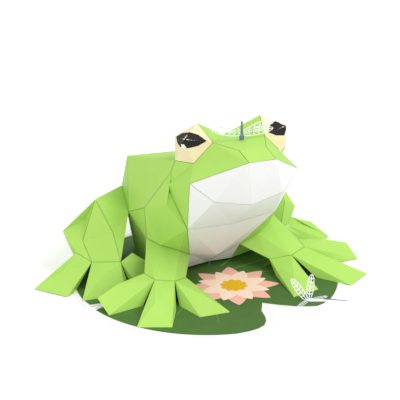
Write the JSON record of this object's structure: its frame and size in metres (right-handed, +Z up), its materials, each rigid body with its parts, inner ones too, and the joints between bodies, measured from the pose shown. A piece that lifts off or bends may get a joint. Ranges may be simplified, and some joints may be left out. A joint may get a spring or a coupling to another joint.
{
  "type": "papercraft frog",
  "caption": "Faceted frog of folded and glued card, sitting on a round leaf base with cut-paper dragonflies.",
  "frame": {"origin": "on the underside of the leaf base, under the middle of the frog's body", "axes": "+Z up; the frog faces -Y; its right side is -X"},
  "size_m": [0.3296, 0.2758, 0.1855],
  "materials": {
    "green_card": "matte",
    "white_card": "matte",
    "eye_card": "matte",
    "leaf_card": "matte",
    "wing_paper": "matte"
  },
  "bodies": {
    "root": {"back": "green_card", "belly": "white_card", "belly_base": "white_card", "body_base": "white_card", "cheek_left": "green_card", "cheek_right": "green_card", "chin": "white_card", "eye_left": "eye_card", "eye_right": "eye_card", "flank_left": "green_card", "flank_right": "green_card", "forearm_left": "green_card", "forearm_right": "green_card", "front_toe_inner_left": "green_card", "front_toe_inner_right": "green_card", "front_toe_middle_left": "green_card", "front_toe_middle_right": "green_card", "front_toe_outer_left": "green_card", "front_toe_outer_right": "green_card", "head_back": "green_card", "head_top": "green_card", "heel_left": "green_card", "heel_right": "green_card", "hind_toe_inner_left": "green_card", "hind_toe_inner_right": "green_card", "hind_toe_middle_left": "green_card", "hind_toe_middle_right": "green_card", "hind_toe_outer_left": "green_card", "hind_toe_outer_right": "green_card", "lily_pad": "leaf_card", "nose_dragonfly": "wing_paper", "pad_dragonfly": "wing_paper", "rump": "green_card", "shin_left": "green_card", "shin_right": "green_card", "shoulder_left": "green_card", "shoulder_right": "green_card", "thigh_left": "green_card", "thigh_right": "green_card", "throat": "white_card"}
  },
  "joints": []
}
